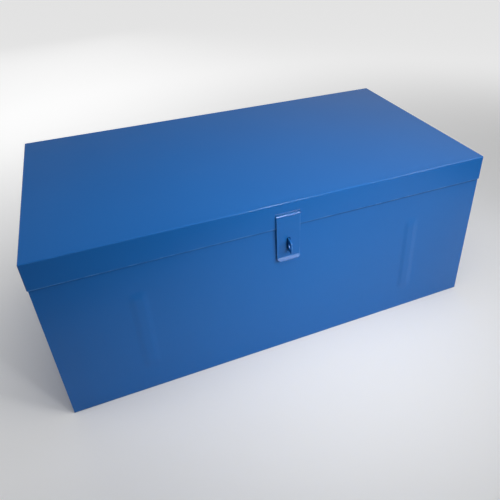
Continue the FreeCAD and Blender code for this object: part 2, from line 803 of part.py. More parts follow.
def make_hasp_strap():
    """The slotted strap, bent round the slot in the skirt."""
    body = new_body("hasp_strap")
    out = size("lip_out")
    drop = size("lip_drop")
    lip_length = root(out * out + drop * drop)
    # The back of the lip starts where the two backs, a wall behind their faces, meet.
    behind = size("strap_wall")
    shift = behind * (lip_length - drop) / out
    section = [
        (tail_front, tail_top),
        (tail_front, web_top),
        (strap_face, web_top),
        (strap_face + lean, lip_top),
        (strap_face + lean - out, lip_top - drop),
        (strap_face + lean - out + behind * drop / lip_length,
         lip_top - drop - behind * out / lip_length),
        (strap_face + lean + behind, lip_top - shift),
        (strap_back, web_foot),
        (tail_back, web_foot),
        (tail_back, tail_top),
    ]
    half = size("tail_head_width") / 2
    extrude(body, "strip", "YZ", -half, half * 2, section)
    bend = size("strap_bend")
    inner = [in_space("YZ", *section[index], 0) for index in (1, 3, 7)]
    outer = [in_space("YZ", *section[index], 0) for index in (2, 6, 8)]
    round_edges(body, "inner_bends", bend, lambda edge: passes(edge, inner))
    round_edges(body, "outer_bends", bend + behind, lambda edge: passes(edge, outer))

    half_strap = size("strap_width") / 2
    neck_top = tail_top - size("tail_head_height")
    front = strap_face - out - PAST
    run = tail_back - front + PAST
    low = lip_top - drop - behind - PAST
    sides = [
        box_outline(-half - PAST, low, -half_strap, neck_top),
        box_outline(half_strap, low, half + PAST, neck_top),
    ]
    cut(body, "narrow_strap", "XZ", front, run, *sides)
    half_slot = size("strap_slot_width") / 2
    slot = box_outline(-half_slot, slot_foot, half_slot, slot_top)
    cut(body, "lug_slot", "XZ", front, run, slot)
    round_edges(body, "slot_corners", half_slot * 0.9, slot_corner_edges(half_slot))
    round_edges(body, "lip_corners", size("strap_corner"), lip_corner_edges(half_strap))
    return body


def slot_corner_edges(half_slot):
    """A test for the four edges in the corners of the strap's slot."""

    def test(edge):
        box = edge.BoundBox
        in_slot = abs(abs(box.XMin) - half_slot.value) < 1e-4 and box.XLength < 1e-4
        flat = box.ZMax < slot_top.value + 1 and box.ZMin > slot_foot.value - 1
        return in_slot and flat and box.ZLength < 0.5 and box.YLength > 1

    return test


def lip_corner_edges(half_strap):
    """A test for the two short edges at the free corners of the lip."""

    def test(edge):
        box = edge.BoundBox
        at_side = abs(abs(box.XMin) - half_strap.value) < 1e-4 and box.XLength < 1e-4
        lowest = lip_top.value - size("lip_drop").value + 0.1
        short = edge.Length < size("strap_wall").value * 1.1
        return at_side and short and box.ZMax < lowest and isinstance(edge.Curve, Part.Line)

    return test


def make_hasp_staple():
    """An angle welded inside the front wall, its lug standing out of a slit."""
    body = new_body("hasp_staple")
    thick = size("lug_wall")
    half = thick / 2
    inside = wall - half_depth
    border = size("staple_base_border")
    base = box_outline(-half, inside, size("staple_base_width") - half, inside + thick)
    run = size("lug_height") + border * 2
    extrude(body, "base", "XY", lug_foot - border, run, base)
    nose = -half_depth - size("lug_reach")
    root_y = inside + thick / 2
    lug = [
        (root_y, lug_foot),
        (root_y, lug_top),
        (-half_depth, lug_top),
        (nose, lug_top - size("lug_nose_drop")),
        (nose, lug_foot + size("lug_tip_rise")),
        (nose + size("lug_tip_back"), lug_foot),
    ]
    extrude(body, "lug", "YZ", -half, thick, lug)
    tip = [in_space("YZ", *lug[3], 0)]
    round_edges(body, "nose", size("lug_nose_round"), lambda edge: near_x_edge(edge, tip))
    hole = Disc(size("padlock_reach") * -1 - half_depth, lug_foot + size("padlock_rise"), size("padlock_radius"))
    cut(body, "padlock_hole", "YZ", -half - PAST, thick + PAST * 2, hole)
    heel = [FreeCAD.Vector(-half.value, (inside + thick).value, lug_foot.value)]
    round_edges(body, "heel", size("lug_bend"), lambda edge: passes(edge, heel) and along(edge, "z"))
    return body


def near_x_edge(edge, points):
    """Whether an edge runs along X through one of the points."""
    return along(edge, "x") and passes(edge, points)


# Handle: a plate with two eyes, a bail in them and a stop above each leg
handle_level = size("handle_level")
plate_wall = size("handle_plate_wall")
rod = size("rod_radius")
eye_hole = rod + size("rod_clearance")
eye_outside = eye_hole + size("eye_wall")
leg_place = size("eye_spacing") / 2 + size("eye_width") / 2 + size("leg_clearance") + size("bail_bend")


def handle_line_x(side):
    """The x of the line that a bail swings on."""
    return (half_width + plate_wall + eye_hole) * side


def run_from(face, reach, side):
    """The lower end of a run that leaves a face towards one side."""
    return face if side > 0 else face - reach


def make_handle_plate(name, side):
    """The plate riveted to an end panel, with two eyes and two stops."""
    body = new_body(name + "_handle_plate")
    face = half_width * side
    half_length = size("handle_plate_length") / 2
    half_height = size("handle_plate_height") / 2
    outline = box_outline(-half_length, handle_level - half_height, half_length, handle_level + half_height)
    extrude(body, "plate", "YZ", run_from(face, plate_wall, side), plate_wall, outline)
    round_edges(body, "corners", size("handle_plate_corner"), lambda edge: along(edge, "x"))
    line = handle_line_x(side)
    outer_face = (half_width + plate_wall) * side
    half_eye = size("eye_width") / 2
    for place, way in (("front", -1), ("rear", 1)):
        middle = size("eye_spacing") / 2 * way
        eye = [
            (outer_face, handle_level + eye_outside),
            (outer_face, handle_level - eye_outside),
            (line, handle_level - eye_outside, (line, handle_level)),
            (line + eye_outside * side, handle_level, (line, handle_level)),
            (line, handle_level + eye_outside),
        ]
        extrude(body, place + "_eye", "XZ", middle - half_eye, size("eye_width"), eye)
        low = handle_level + rod + size("stop_gap")
        stop = box_outline(leg_place * way - size("stop_width") / 2, low,
                           leg_place * way + size("stop_width") / 2, low + size("stop_wall"))
        reach = size("stop_reach")
        extrude(body, place + "_stop", "YZ", run_from(outer_face, reach, side), reach, stop)
    span = size("eye_spacing") + size("eye_width") + PAST * 2
    cut(body, "eye_bore", "XZ", span / -2, span, Disc(line, handle_level, eye_hole))
    holes = [Disc(across, up, rivet_hole) for across, up in handle_rivet_places()]
    level = run_from(face, plate_wall, side) - PAST
    cut(body, "rivet_holes", "YZ", level, plate_wall + PAST * 2, *holes)
    return body


def make_handle_bail(name, side):
    """A round rod: two inward ends in the eyes, two legs and the grip."""
    body = new_body(name + "_handle_bail")
    line = handle_line_x(side)
    bend = size("bail_bend")
    end = size("eye_spacing") / 2 - size("eye_width") / 2
    foot = handle_level - size("bail_drop")
    half_path = [
        (end, handle_level),
        (leg_place - bend, handle_level, (leg_place - bend, handle_level - bend)),
        (leg_place, handle_level - bend),
        (leg_place, foot + bend, (leg_place - bend, foot + bend)),
        (leg_place - bend, foot),
    ]
    mirrored = [
        (-(leg_place - bend), foot, (-(leg_place - bend), foot + bend)),
        (-leg_place, foot + bend),
        (-leg_place, handle_level - bend, (-(leg_place - bend), handle_level - bend)),
        (-(leg_place - bend), handle_level),
        (-end, handle_level),
    ]
    spine = new_sketch(body, "spine", "YZ", line)
    draw_outline(spine, half_path + mirrored, closed=False)
    section = new_sketch(body, "section", "XZ", end)
    draw_disc(section, Disc(line, handle_level, rod))
    document.recompute()
    pipe = body.newObject("PartDesign::AdditivePipe", "rod")
    pipe.Profile = section
    pipe.Spine = (spine, ["Edge%d" % (index + 1) for index in range(len(half_path + mirrored) - 1)])
    document.recompute()
    return body


def make_handle_rivets(name, side):
    """The four rivets of one handle plate."""
    across, up = handle_rivet_places()[0]
    place = ((half_width + plate_wall) * side, across, up)
    steps = [("Y", across * -2), ("Z", (handle_level - up) * 2)]
    make_rivets(name + "_handle_rivets", "X", side, place, plate_wall + wall, steps)


def make_all():
    make_body_wrap()
    make_lid_shell()
    for name, side in SIDES.items():
        make_end_panel(name, side)
        make_wall_stiffener(name, side, front=True)
        make_wall_stiffener(name, side, front=False)
        make_lid_stiffener(name, side)
        make_body_leaf(name, side)
        make_lid_leaf(name, side)
        make_hinge_pin(name, side)
        make_handle_plate(name, side)
        make_handle_bail(name, side)
        make_handle_rivets(name, side)
    make_hinge_rivets()
    make_hasp_staple()
    make_hasp_strap()


# How many separate solids a piece's shape holds, where it is a group
GROUPS = {
    "hinge_body_rivets": 4,
    "hinge_lid_rivets": 4,
    "left_handle_rivets": 4,
    "right_handle_rivets": 4,
}


def check_and_write():
    """Refuse a failed feature or shape, then write one file for each piece."""
    for item in document.Objects:
        if "Invalid" in item.State or "Error" in item.State:
            raise RuntimeError("%s of the document failed: %s" % (item.Name, item.State))
    bodies = [item for item in document.Objects if item.TypeId == "PartDesign::Body"]
    for body in bodies:
        shape = body.Shape
        if shape.isNull() or not shape.isValid():
            raise RuntimeError("%s has no valid shape" % body.Label)
        expected = GROUPS.get(body.Label, 1)
        if len(shape.Solids) != expected:
            raise RuntimeError("%s holds %d solids" % (body.Label, len(shape.Solids)))
    os.makedirs("parts", exist_ok=True)
    for body in bodies:
        body.Shape.exportStep("parts/%s.step" % body.Label)
        box = body.Shape.BoundBox
        print("%-26s %9.1f mm3  x %.2f..%.2f  y %.2f..%.2f  z %.2f..%.2f" % (
            body.Label, body.Shape.Volume, box.XMin, box.XMax, box.YMin, box.YMax, box.ZMin, box.ZMax))


make_all()
document.recompute()
check_and_write()
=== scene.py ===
"""Looks of the steel storage chest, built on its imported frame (metres, +Z up, front towards -Y)."""

import math

import bpy
from mathutils import Matrix, Vector


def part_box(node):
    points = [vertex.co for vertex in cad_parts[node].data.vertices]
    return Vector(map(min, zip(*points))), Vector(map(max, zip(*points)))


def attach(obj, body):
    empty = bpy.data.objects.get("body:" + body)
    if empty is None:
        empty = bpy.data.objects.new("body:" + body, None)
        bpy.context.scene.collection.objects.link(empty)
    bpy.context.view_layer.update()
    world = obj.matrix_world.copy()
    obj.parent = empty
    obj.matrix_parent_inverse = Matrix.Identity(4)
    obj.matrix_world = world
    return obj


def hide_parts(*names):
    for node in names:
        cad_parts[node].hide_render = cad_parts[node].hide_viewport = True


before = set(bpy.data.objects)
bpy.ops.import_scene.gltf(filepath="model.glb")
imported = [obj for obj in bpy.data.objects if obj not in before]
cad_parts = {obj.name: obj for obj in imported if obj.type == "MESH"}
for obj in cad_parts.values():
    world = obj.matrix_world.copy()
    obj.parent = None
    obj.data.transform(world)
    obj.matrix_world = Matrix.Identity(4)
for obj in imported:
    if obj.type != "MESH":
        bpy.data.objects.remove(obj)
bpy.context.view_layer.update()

MM = 0.001
SMOOTH = {"interpolation_type": "SMOOTHSTEP"}

# The chest's own measures, read from its frame.
BODY_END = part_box("body_wrap")[1][0]
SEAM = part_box("lid_shell")[0][2]  # lower edge of the lid's skirt
WALL_STIFFENER_LOW, WALL_STIFFENER_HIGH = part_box("front_right_stiffener")
LID_STIFFENER_LOW, LID_STIFFENER_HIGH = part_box("right_lid_stiffener")
PAN_LOW, PAN_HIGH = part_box("right_end_panel")

# Spot welds along the flanges.
STIFFENER_FLANGE = 12 * MM
WELD_PITCH = 45 * MM
WELD_RADIUS = 3.4 * MM
WELD_FLAT = 0.45  # flat share of a weld's radius
WELD_DEPTH = 0.45  # millimetres

# Stiffeners that show through the front wall as ridges.
RIDGE_WIDTH = 32 * MM
RIDGE_OFFSET = 2 * MM  # from the stiffener's middle towards the chest's middle
RIDGE_FLANK = 12 * MM
RIDGE_FOOT = 20 * MM  # length of the run-out at the foot
RIDGE_TOP_ABOVE = 5 * MM  # run-out at the top, above and below the stiffener's end
RIDGE_TOP_BELOW = 15 * MM
RIDGE_HEIGHT = 1.4  # millimetres, the right one
RIDGE_LEFT_SHARE = 0.7
RIDGE_CHANGE = 0.1  # the height changes from left to right this near to the middle
CORNER_EASE = 50 * MM  # the sheet leans back a little this near to its corners
CORNER_EASE_DEPTH = 0.9  # millimetres

# Enamel: colours, gloss and patterns.
BLUE_DARK = "125DA6"
BLUE_LIGHT = "1361AB"
# The lighter edge blue is part wear and part painted highlight.
BLUE_EDGE_WEAR_AND_HIGHLIGHT = "4F90D2"
# The next blue is painted shade, for the dark line under the lid's skirt.
BLUE_SEAM_SHADE = "0A2C5C"
ENAMEL_IOR = 1.45
EDGE_RADIUS = 0.9 * MM
EDGE_SAMPLES = 6
EDGE_WEAR_AND_HIGHLIGHT = {"From_Min": 0.999, "From_Max": 0.93}  # cosine between the rounded and the flat normal
RUB_AND_HIGHLIGHT_SIZE = 14 * MM
RUB_AND_HIGHLIGHT_BREAKS = {"From_Min": 0.38, "From_Max": 0.62, "To_Min": 0.15}
RUB_ROUGHER = 0.12
# Painted highlight: a lighter band on the lid's hem just above the seam.
HEM_HIGHLIGHT = {"From_Min": SEAM + 2.0 * MM, "From_Max": SEAM + 1.2 * MM, "To_Max": 0.4}
CLOUD_SIZE = 160 * MM
# Painted shade: a dark line on the wall just under the lid's skirt, fading out up behind it and fainter
# to the left.
SEAM_SHADE_BELOW = {"From_Min": SEAM - 3.5 * MM, "From_Max": SEAM - 1.2 * MM}
SEAM_SHADE_ABOVE = {"From_Min": SEAM, "From_Max": SEAM + 2 * MM, "To_Min": 0.85, "To_Max": 0.0}
SEAM_SHADE_TO_RIGHT = {"From_Min": -0.2, "From_Max": 0.15, "To_Min": 0.3, "To_Max": 1.0}
HANDLED_SIZE = 55 * MM
HANDLED_ROUGHNESS = {"From_Min": 0.40, "From_Max": 0.75, "To_Min": 0.19, "To_Max": 0.235}
PEEL_SIZE = 3.2 * MM
PEEL_HEIGHT = 0.010  # millimetres
WAVE_SIZE = 210 * MM
WAVE_HEIGHT = 0.65  # millimetres

# Zinc plate: colours, gloss and patterns.
ZINC_BLUISH = "B6BBC0"
ZINC_YELLOWISH = "BDBCB6"
ZINC_RUBBED = "D6D7D5"
ZINC_EDGE_RADIUS = 0.5 * MM
ZINC_CLOUD_SIZE = 20 * MM
ZINC_CLOUD = {"From_Min": 0.35, "From_Max": 0.65}
ZINC_GRAIN_SIZE = 1.2 * MM
ZINC_GRAIN_HEIGHT = 0.012  # millimetres
ZINC_BLOTCH_SIZE = 7 * MM
ZINC_ROUGHNESS = {"From_Min": 0.30, "From_Max": 0.70, "To_Min": 0.25, "To_Max": 0.37}

# Rivets.
HEAD_RADIUS = 4.0 * MM
HEAD_HEIGHT = 1.6 * MM
HEAD_ROUND = 0.92  # rounded share of the head's height
HEAD_STEPS = 6
SHANK_RADIUS = 2.0 * MM
TAIL_RADIUS = 3.1 * MM
TAIL_HEIGHT = 1.2 * MM
TAIL_ROUND = 0.8
TAIL_STEPS = 4
ROUND_SIDES = 32
SMOOTH_ANGLE = 35  # degrees
FLAT_WITHIN = 0.01 * MM
FACING = 0.9  # a face looks up or down where its normal's Z is beyond this
HINGE_RIVET_PITCH = 37 * MM

# Camera, fitted to the chest's straight edges: place in metres and its axes.
CAMERA_PLACE = Vector((-0.2449, -0.7960, 0.7033))
CAMERA_RIGHT = Vector((0.921913, -0.387110, -0.014925))
CAMERA_DOWN = Vector((-0.217251, -0.484722, -0.847258))
CAMERA_FORWARD = Vector((0.320747, 0.784341, -0.530971))
FOCAL_SHARE = 496.6 / 500  # focal length over the picture's width
MIDDLE_X = 286.3 / 500  # the lens axis in the picture, from its upper left corner
MIDDLE_Y = 205.2 / 500
SENSOR = 36.0
VIEW_END = 60

# The floor, and the painted reflection: how dark the paint's gloss sees it to the left and right of the
# lit spot.
FLOOR_SIZE = 40
FLOOR_COLOUR = "E8E8E8"
FLOOR_ROUGHNESS = 0.9
LIT_SPOT = (0.35, -0.45, 0.0)
GLOW_FAR_OFF = {"From_Min": 0.5, "From_Max": 2.0, "To_Max": 0.60}
FLOOR_ACROSS = {"From_Min": 0.0, "From_Max": 0.65, "To_Min": 0.66, "To_Max": 1.0}
LEFT_SLANT = (-0.33, -0.94, 0.0)
LEFT_DARK = {"From_Min": 0.46, "From_Max": 0.67, "To_Max": 0.95}
RIGHT_DARK = {"From_Min": 0.52, "From_Max": 0.82, "To_Max": 0.80}
RIGHT_DARK_FRONT = {"From_Min": -0.44, "From_Max": -0.56}

# The room's light by direction: to the right, upwards, to the rear, and the low backdrop.
ROOM_SIDE = {"From_Min": -0.05, "From_Max": 0.80, "To_Min": 0.13, "To_Max": 0.50}
ROOM_HEIGHT = {"From_Min": 0.35, "From_Max": 0.75, "To_Max": 0.12}
ROOM_DEPTH = {"From_Min": -0.50, "From_Max": 0.30, "To_Min": 0.15, "To_Max": 1.0}
BACKDROP = {"From_Min": 0.19, "From_Max": 0.33, "To_Min": 0.85, "To_Max": 0.0}

# Lamps: name, place, aim, side of the square in metres, watts, spread in degrees, shown by gloss.
AIM = (0.0, 0.0, 0.15)
LAMPS = (
    ("over", (0.08, -0.38, 1.15), AIM, 0.9, 6.2, 180, False),
    ("key", (1.5, -1.1, 0.95), (0.58, -0.2, 0.18), 0.9, 1.65, 50, False),
    ("brow", (0.39, -1.21, 0.91), (0.0, -0.2, 0.2), 0.20, 0.42, 40, True),
    ("glint", (1.05, -1.20, 1.00), (0.2, -0.2, 0.2), 0.30, 0.42, 40, True),
    ("back", (-0.5, 2.5, 0.9), AIM, 1.2, 2.8, 90, False),
    ("side", (-2.4, 0.6, 0.75), AIM, 1.2, 2.6, 90, False),
)


def linear(colour):
    """The linear value of an sRGB colour written as six hex digits."""
    values = [int(colour[i : i + 2], 16) / 255 for i in (0, 2, 4)]
    return [v / 12.92 if v <= 0.04045 else ((v + 0.055) / 1.055) ** 2.4 for v in values] + [1.0]


def new_material(name):
    """A node material with its surface shader."""
    material = bpy.data.materials.new(name)
    material.use_nodes = True
    return material, material.node_tree, material.node_tree.nodes["Principled BSDF"]


def add_node(tree, kind, **values):
    """Add a node (or take a given one), set its settings and sockets, and link sockets to nodes.

    A value that is a node means its first live output. A hex colour becomes linear. i0 and i1 are
    sockets by number, and other sockets go by name, with _ for a space.
    """
    node = tree.nodes.new(kind) if isinstance(kind, str) else kind
    for name, value in values.items():
        if hasattr(node, name):
            setattr(node, name, value)
            continue
        numbered = name[0] == "i" and name[1:].isdigit()
        socket = node.inputs[int(name[1:]) if numbered else name.replace("_", " ")]
        if isinstance(value, bpy.types.Node):
            value = next(output for output in value.outputs if output.enabled)
        if isinstance(value, bpy.types.NodeSocket):
            tree.links.new(value, socket)
        elif isinstance(value, str):
            socket.default_value = linear(value)
        else:
            socket.default_value = value
    return node


def softened_edges(tree, radius):
    """The normal rounded within a radius of the sheet's edges, and a mask that is 1 on those edges."""
    soft = add_node(tree, "ShaderNodeBevel", samples=EDGE_SAMPLES, Radius=radius)
    flat = add_node(tree, "ShaderNodeNewGeometry").outputs["Normal"]
    turn = add_node(tree, "ShaderNodeVectorMath", operation="DOT_PRODUCT", i0=soft, i1=flat)
    mask = add_node(tree, "ShaderNodeMapRange", Value=turn.outputs["Value"], **EDGE_WEAR_AND_HIGHLIGHT)
    return soft, mask


def wall_ridges(tree, parts):
    """Heights in millimetres: stiffeners show through, and the sheet leans back near its corners."""
    middle = (WALL_STIFFENER_LOW[0] + WALL_STIFFENER_HIGH[0]) / 2 - RIDGE_OFFSET
    start = middle - RIDGE_WIDTH / 2
    end = middle + RIDGE_WIDTH / 2
    low = WALL_STIFFENER_LOW[2]
    high = WALL_STIFFENER_HIGH[2]
    side = add_node(tree, "ShaderNodeMath", operation="ABSOLUTE", i0=parts.outputs["X"])
    rise = add_node(
        tree,
        "ShaderNodeMapRange",
        Value=side,
        From_Min=start,
        From_Max=start + RIDGE_FLANK,
        **SMOOTH,
    )
    fall = add_node(
        tree,
        "ShaderNodeMapRange",
        Value=side,
        From_Min=end - RIDGE_FLANK,
        From_Max=end,
        **SMOOTH,
    )
    across = add_node(tree, "ShaderNodeMath", operation="SUBTRACT", i0=rise, i1=fall)
    foot = add_node(
        tree,
        "ShaderNodeMapRange",
        Value=parts.outputs["Z"],
        From_Min=low,
        From_Max=low + RIDGE_FOOT,
        **SMOOTH,
    )
    top = add_node(
        tree,
        "ShaderNodeMapRange",
        Value=parts.outputs["Z"],
        From_Min=high + RIDGE_TOP_ABOVE,
        From_Max=high - RIDGE_TOP_BELOW,
        **SMOOTH,
    )
    along = add_node(tree, "ShaderNodeMath", operation="MULTIPLY", i0=foot, i1=top)
    shape = add_node(tree, "ShaderNodeMath", operation="MULTIPLY", i0=across, i1=along)
    height = add_node(
        tree,
        "ShaderNodeMapRange",
        Value=parts.outputs["X"],
        From_Min=-RIDGE_CHANGE,
        From_Max=RIDGE_CHANGE,
        To_Min=RIDGE_HEIGHT * RIDGE_LEFT_SHARE,
        To_Max=RIDGE_HEIGHT,
    )
    ridge = add_node(tree, "ShaderNodeMath", operation="MULTIPLY", i0=shape, i1=height)
    ease = add_node(
        tree,
        "ShaderNodeMapRange",
        Value=side,
        From_Min=BODY_END - CORNER_EASE,
        From_Max=BODY_END,
        To_Max=-CORNER_EASE_DEPTH,
        **SMOOTH,
    )
    return add_node(tree, "ShaderNodeMath", operation="ADD", i0=ridge, i1=ease)


def weld_dents(tree, parts, lines):
    """Heights in millimetres: spot welds in rows along the flanges, at distances from the middle."""
    side = add_node(tree, "ShaderNodeMath", operation="ABSOLUTE", i0=parts.outputs["X"])
    off = None
    for line in lines:
        away = add_node(tree, "ShaderNodeMath", operation="SUBTRACT", i0=side, i1=line)
        away = add_node(tree, "ShaderNodeMath", operation="ABSOLUTE", i0=away)
        if off is None:
            off = away
        else:
            off = add_node(tree, "ShaderNodeMath", operation="MINIMUM", i0=off, i1=away)
    run = add_node(tree, "ShaderNodeMath", operation="ADD", i0=parts.outputs["Y"], i1=parts.outputs["Z"])
    step = add_node(tree, "ShaderNodeMath", operation="PINGPONG", i0=run, i1=WELD_PITCH / 2)
    reach = add_node(tree, "ShaderNodeCombineXYZ", X=off, Y=step)
    reach = add_node(tree, "ShaderNodeVectorMath", operation="LENGTH", i0=reach)
    return add_node(
        tree,
        "ShaderNodeMapRange",
        Value=reach.outputs["Value"],
        From_Min=WELD_RADIUS * WELD_FLAT,
        From_Max=WELD_RADIUS,
        To_Min=-WELD_DEPTH,
        To_Max=0.0,
        **SMOOTH,
    )


def stiffener_welds(tree, parts):
    """Spot welds along the flanges of the wall and lid stiffeners."""
    lines = []
    for low, high in ((WALL_STIFFENER_LOW, WALL_STIFFENER_HIGH), (LID_STIFFENER_LOW, LID_STIFFENER_HIGH)):
        lines += [low[0] + STIFFENER_FLANGE / 2, high[0] - STIFFENER_FLANGE / 2]
    return weld_dents(tree, parts, lines)


def pan_welds(tree, parts):
    """Spot welds along the flanges of the end pans."""
    return weld_dents(tree, parts, [(PAN_LOW[0] + PAN_HIGH[0]) / 2])


def painted_seam_shade(tree, parts):
    """Painted shade: a dark line on the wall under the lid's skirt, fainter to the left."""
    below = add_node(tree, "ShaderNodeMapRange", Value=parts.outputs["Z"], **SEAM_SHADE_BELOW)
    above = add_node(tree, "ShaderNodeMapRange", Value=parts.outputs["Z"], **SEAM_SHADE_ABOVE)
    line = add_node(tree, "ShaderNodeMath", operation="MULTIPLY", i0=below, i1=above)
    right = add_node(tree, "ShaderNodeMapRange", Value=parts.outputs["X"], **SEAM_SHADE_TO_RIGHT)
    return add_node(tree, "ShaderNodeMath", operation="MULTIPLY", i0=line, i1=right)


def blue_enamel(name, shape=None, seam_shaded=False, hem_highlighted=False, wear_and_highlight=0.8):
    """Blue enamel sprayed on sheet steel and stoved: a smooth, fairly glossy film with faint orange peel.

    It draws thin along the sheet's edges, which then show a shade lighter, part wear and part painted
    highlight, and handling leaves its gloss a little uneven. shape adds a pressed or welded form,
    seam_shaded the painted shade under the lid's skirt and hem_highlighted a painted highlight along the
    lid's hem at the seam. wear_and_highlight says how much the edges are lightened, by wear and by
    painted highlight.
    """
    material, tree, shader = new_material(name)
    place = add_node(tree, "ShaderNodeTexCoord").outputs["Object"]
    parts = add_node(tree, "ShaderNodeSeparateXYZ", Vector=place)
    soft, edge = softened_edges(tree, EDGE_RADIUS)
    broken = add_node(tree, "ShaderNodeTexNoise", Vector=place, Scale=1 / RUB_AND_HIGHLIGHT_SIZE, Detail=4.0)
    broken = add_node(tree, "ShaderNodeMapRange", Value=broken, To_Max=wear_and_highlight, **RUB_AND_HIGHLIGHT_BREAKS)
    # Painted highlight along the lid's hem, just above the seam.
    if hem_highlighted:
        hem_highlight_band = add_node(tree, "ShaderNodeMapRange", Value=parts.outputs["Z"], **HEM_HIGHLIGHT)
        edge = add_node(tree, "ShaderNodeMath", operation="MAXIMUM", i0=edge, i1=hem_highlight_band)
    # Lighter, rougher edges: part wear, part painted highlight, in broken dashes.
    rubbed_and_highlit = add_node(tree, "ShaderNodeMath", operation="MULTIPLY", i0=edge, i1=broken)
    cloud = add_node(tree, "ShaderNodeTexNoise", Vector=place, Scale=1 / CLOUD_SIZE, Detail=3.0)
    film = add_node(tree, "ShaderNodeMix", data_type="RGBA", Factor=cloud, A=BLUE_DARK, B=BLUE_LIGHT)
    film = add_node(tree, "ShaderNodeMix", data_type="RGBA", Factor=rubbed_and_highlit, A=film, B=BLUE_EDGE_WEAR_AND_HIGHLIGHT)
    # Painted shade under the lid's skirt.
    if seam_shaded:
        shade_mask = painted_seam_shade(tree, parts)
        film = add_node(tree, "ShaderNodeMix", data_type="RGBA", Factor=shade_mask, A=film, B=BLUE_SEAM_SHADE)
    handled = add_node(tree, "ShaderNodeTexNoise", Vector=place, Scale=1 / HANDLED_SIZE, Detail=4.0)
    handled = add_node(tree, "ShaderNodeMapRange", Value=handled, **HANDLED_ROUGHNESS)
    rough = add_node(
        tree, "ShaderNodeMath", operation="MULTIPLY_ADD", i0=rubbed_and_highlit, i1=RUB_ROUGHER, i2=handled
    )
    # Heights in millimetres: orange peel, and slow waves left in the rolled sheet.
    peel = add_node(tree, "ShaderNodeTexNoise", Vector=place, Scale=1 / PEEL_SIZE, Detail=1.0)
    peel = add_node(tree, "ShaderNodeMath", operation="MULTIPLY", i0=peel, i1=PEEL_HEIGHT)
    waves = add_node(tree, "ShaderNodeTexNoise", Vector=place, Scale=1 / WAVE_SIZE, Detail=1.0)
    height = add_node(tree, "ShaderNodeMath", operation="MULTIPLY_ADD", i0=waves, i1=WAVE_HEIGHT, i2=peel)
    if shape:
        height = add_node(tree, "ShaderNodeMath", operation="ADD", i0=height, i1=shape(tree, parts))
    bump = add_node(tree, "ShaderNodeBump", Distance=MM, Height=height, Normal=soft)
    add_node(tree, shader, Base_Color=film, Roughness=rough, IOR=ENAMEL_IOR, Normal=bump)
    return material


def bright_zinc():
    """Zinc plate, clear passivated: pale bluish metal, dull in its grain, scuffed bright on the edges.

    Faint yellow clouds lie in it, and its gloss is a little blotched.
    """
    material, tree, shader = new_material("passivated_zinc_plating")
    place = add_node(tree, "ShaderNodeTexCoord").outputs["Object"]
    soft, edge = softened_edges(tree, ZINC_EDGE_RADIUS)
    cloud = add_node(tree, "ShaderNodeTexNoise", Vector=place, Scale=1 / ZINC_CLOUD_SIZE, Detail=5.0)
    cloud = add_node(tree, "ShaderNodeMapRange", Value=cloud, **ZINC_CLOUD)
    film = add_node(
        tree, "ShaderNodeMix", data_type="RGBA", Factor=cloud, A=ZINC_BLUISH, B=ZINC_YELLOWISH
    )
    film = add_node(tree, "ShaderNodeMix", data_type="RGBA", Factor=edge, A=film, B=ZINC_RUBBED)
    grain = add_node(tree, "ShaderNodeTexNoise", Vector=place, Scale=1 / ZINC_GRAIN_SIZE, Detail=2.0)
    blotch = add_node(tree, "ShaderNodeTexNoise", Vector=place, Scale=1 / ZINC_BLOTCH_SIZE, Detail=3.0)
    rough = add_node(tree, "ShaderNodeMapRange", Value=blotch, **ZINC_ROUGHNESS)
    grain = add_node(tree, "ShaderNodeMath", operation="MULTIPLY", i0=grain, i1=ZINC_GRAIN_HEIGHT)
    bump = add_node(tree, "ShaderNodeBump", Distance=MM, Height=grain, Normal=soft)
    add_node(tree, shader, Base_Color=film, Metallic=1.0, Roughness=rough, Normal=bump)
    return material


ENAMEL = blue_enamel("blue_stoving_enamel")
LID_ENAMEL = blue_enamel("blue_stoving_enamel_on_the_lid", hem_highlighted=True, wear_and_highlight=1.0)
WALL_ENAMEL = blue_enamel("blue_stoving_enamel_on_the_wrap", wall_ridges, seam_shaded=True)
WELDED_ENAMEL = blue_enamel("blue_stoving_enamel_on_stiffeners", stiffener_welds)
PAN_ENAMEL = blue_enamel("blue_stoving_enamel_on_end_pans", pan_welds)
ZINC = bright_zinc()


def dress_nodes():
    """Give every node of the frame its finish."""
    for name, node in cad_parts.items():
        finish = ENAMEL
        if name == "body_wrap":
            finish = WALL_ENAMEL
        elif name == "lid_shell":
            finish = LID_ENAMEL
        elif name.endswith("stiffener"):
            finish = WELDED_ENAMEL
        elif name.endswith("end_panel"):
            finish = PAN_ENAMEL
        elif "_handle_" in name or name.endswith("hinge_pin"):
            finish = ZINC
        node.data.materials.clear()
        node.data.materials.append(finish)


def select_faces(test):
    """In edit mode, select the faces whose centre and normal pass a test."""
    bpy.ops.mesh.select_all(action="DESELECT")
    bpy.ops.object.mode_set(mode="OBJECT")
    for face in bpy.context.object.data.polygons:
        face.select = test(face.center, face.normal)
    bpy.ops.object.mode_set(mode="EDIT")
    bpy.ops.mesh.select_mode(type="FACE")


def round_rim(level, width, steps):
    """Round the rim of the flat face at a level."""
    select_faces(lambda centre, normal: abs(centre.z - level) < FLAT_WITHIN and abs(normal.z) > FACING)
    bpy.ops.mesh.region_to_loop()
    bpy.ops.mesh.bevel(offset=width, offset_type="OFFSET", segments=steps, profile=0.5)
    bpy.ops.mesh.select_mode(type="FACE")


